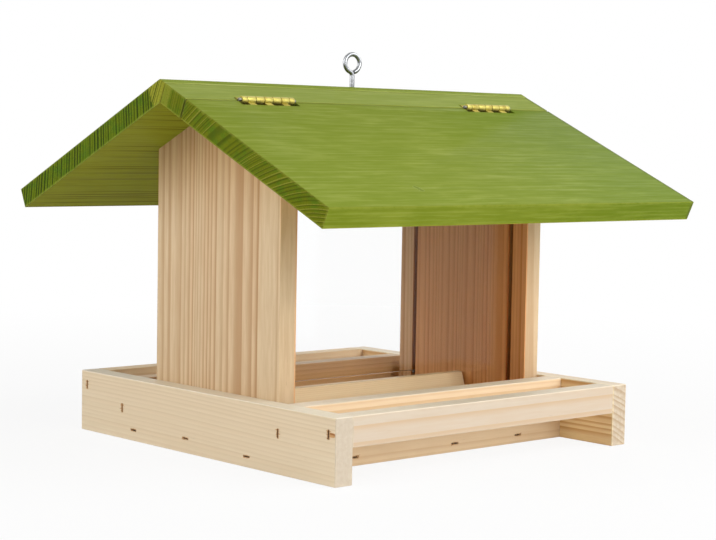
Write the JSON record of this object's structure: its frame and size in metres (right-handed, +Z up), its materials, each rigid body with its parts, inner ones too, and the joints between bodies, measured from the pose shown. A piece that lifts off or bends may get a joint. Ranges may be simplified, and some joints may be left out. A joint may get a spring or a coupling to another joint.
{
  "type": "bird feeder",
  "caption": "hanging wooden bird feeder: seed tray with perch rails, clear hopper panes and a pitched roof with a hinged filling lid",
  "frame": {"origin": "middle of the underside of the tray, which is the bottom centre of the closed feeder's bounding box", "axes": "+X along the ridge to the right-hand end, -Y towards the side with the hinged lid, +Z up"},
  "size_m": [0.292, 0.2896, 0.2354],
  "materials": {
    "pine": "planed softwood, untreated, satin",
    "pale_pine": "planed softwood, pale, matt",
    "green_stained_pine": "green wood stain, grain shows through, satin",
    "clear_sheet": "clear acrylic sheet, polished",
    "brass": "bright brass plate",
    "steel": "drawn steel wire",
    "zinc": "bright zinc plate"
  },
  "bodies": {
    "feeder": {"left_end_rail": "pine", "right_end_rail": "pine", "front_inner_rail": "pine", "back_inner_rail": "pine", "front_perch_rail": "pine", "back_perch_rail": "pine", "tray_floor": "pine", "left_upright": "pine", "right_upright": "pine", "seed_divider": "pale_pine", "front_pane": "clear_sheet", "back_pane": "clear_sheet", "pane_stop_pins": "zinc", "back_roof_board": "green_stained_pine", "ridge_strip": "green_stained_pine", "left_hinge_fixed_leaf": "brass", "left_hinge_pin": "steel", "right_hinge_fixed_leaf": "brass", "right_hinge_pin": "steel", "eye_screw": "zinc"},
    "lid": {"roof_lid": "green_stained_pine", "left_hinge_lid_leaf": "brass", "right_hinge_lid_leaf": "brass"}
  },
  "joints": [
    {"name": "lid_hinge", "type": "hinge", "parent": "feeder", "child": "lid", "pos_m": [0, -0.02429, 0.20364], "axis": [-1, 0, 0], "range_deg": [0, 140]}
  ]
}
